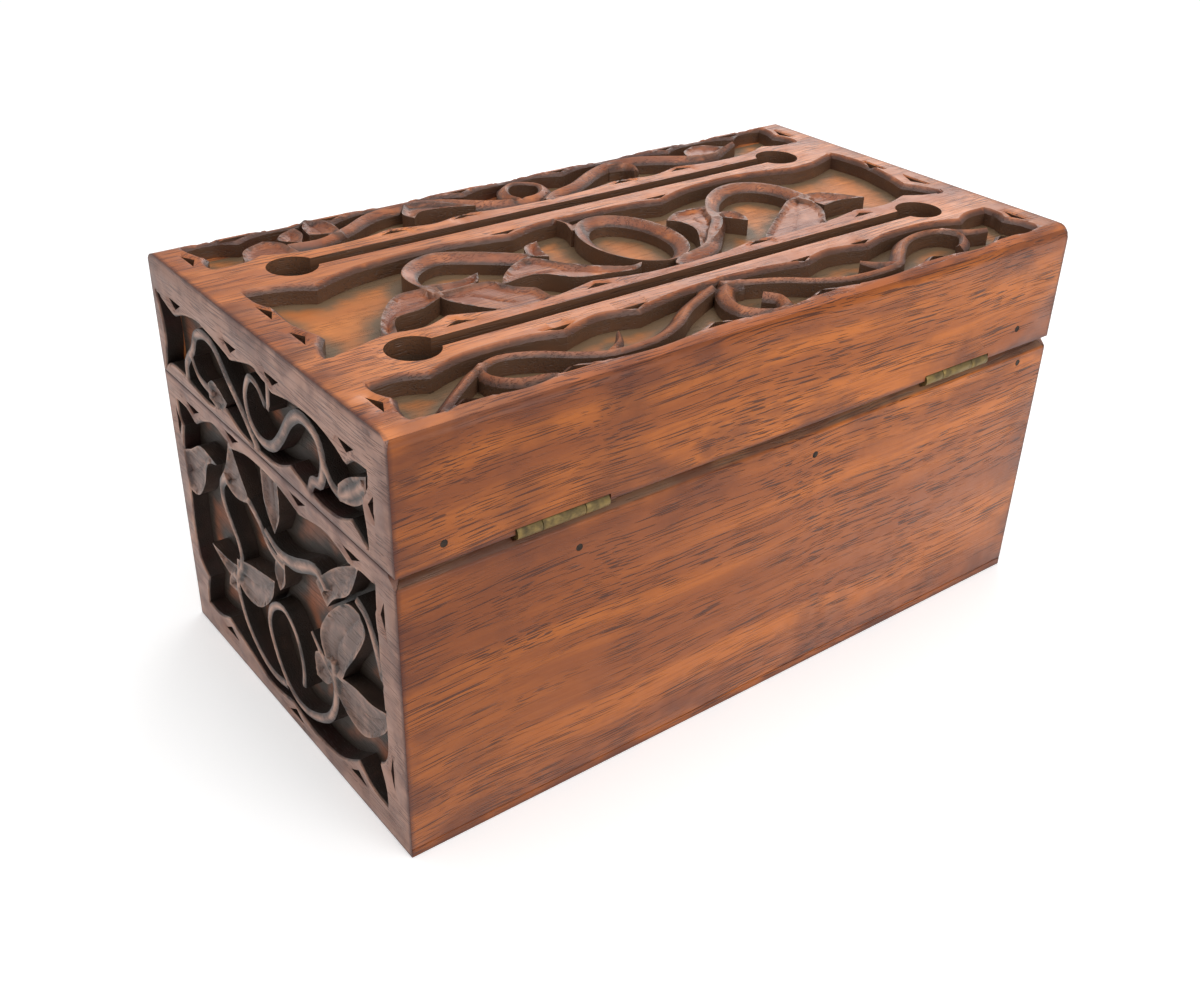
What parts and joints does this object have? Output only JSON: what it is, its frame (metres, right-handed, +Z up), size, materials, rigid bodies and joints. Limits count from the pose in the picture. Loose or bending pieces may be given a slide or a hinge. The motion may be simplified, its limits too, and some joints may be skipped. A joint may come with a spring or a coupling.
{
  "type": "jewelry box",
  "caption": "Hinged wooden box with pierced and carved fretwork on its lid and sides, and long slots with round ends through the lid.",
  "frame": {"origin": "middle of the underside, where the box rests", "axes": "+X towards the right-hand end seen from the front, -Y the front, +Y the hinge side, +Z up"},
  "size_m": [0.216, 0.1211, 0.1126],
  "materials": {
    "board_wood": "waxed",
    "carved_wood": "waxed",
    "hinge_brass": "aged",
    "pin_steel": "tarnished"
  },
  "bodies": {
    "base": {"bottom_board": "board_wood", "base_back_board": "board_wood", "base_front_board": "board_wood", "base_front_fretwork": "carved_wood", "base_left_board": "board_wood", "base_left_fretwork": "carved_wood", "base_right_board": "board_wood", "base_right_fretwork": "carved_wood", "left_hinge_base_leaf": "hinge_brass", "left_hinge_pin": "hinge_brass", "right_hinge_base_leaf": "hinge_brass", "right_hinge_pin": "hinge_brass", "base_hinge_screws": "hinge_brass", "base_panel_pins": "pin_steel"},
    "lid": {"lid_back_board": "board_wood", "lid_front_board": "board_wood", "lid_front_fretwork": "carved_wood", "lid_left_board": "board_wood", "lid_left_fretwork": "carved_wood", "lid_right_board": "board_wood", "lid_right_fretwork": "carved_wood", "lid_top_board": "board_wood", "lid_top_fretwork": "carved_wood", "left_hinge_lid_leaf": "hinge_brass", "right_hinge_lid_leaf": "hinge_brass", "lid_hinge_screws": "hinge_brass", "lid_panel_pins": "pin_steel"}
  },
  "joints": [
    {"name": "lid_hinge", "type": "hinge", "parent": "base", "child": "lid", "pos_m": [0, 0.0591, 0.0793], "axis": [-1, 0, 0], "range_deg": [0, 130]}
  ]
}
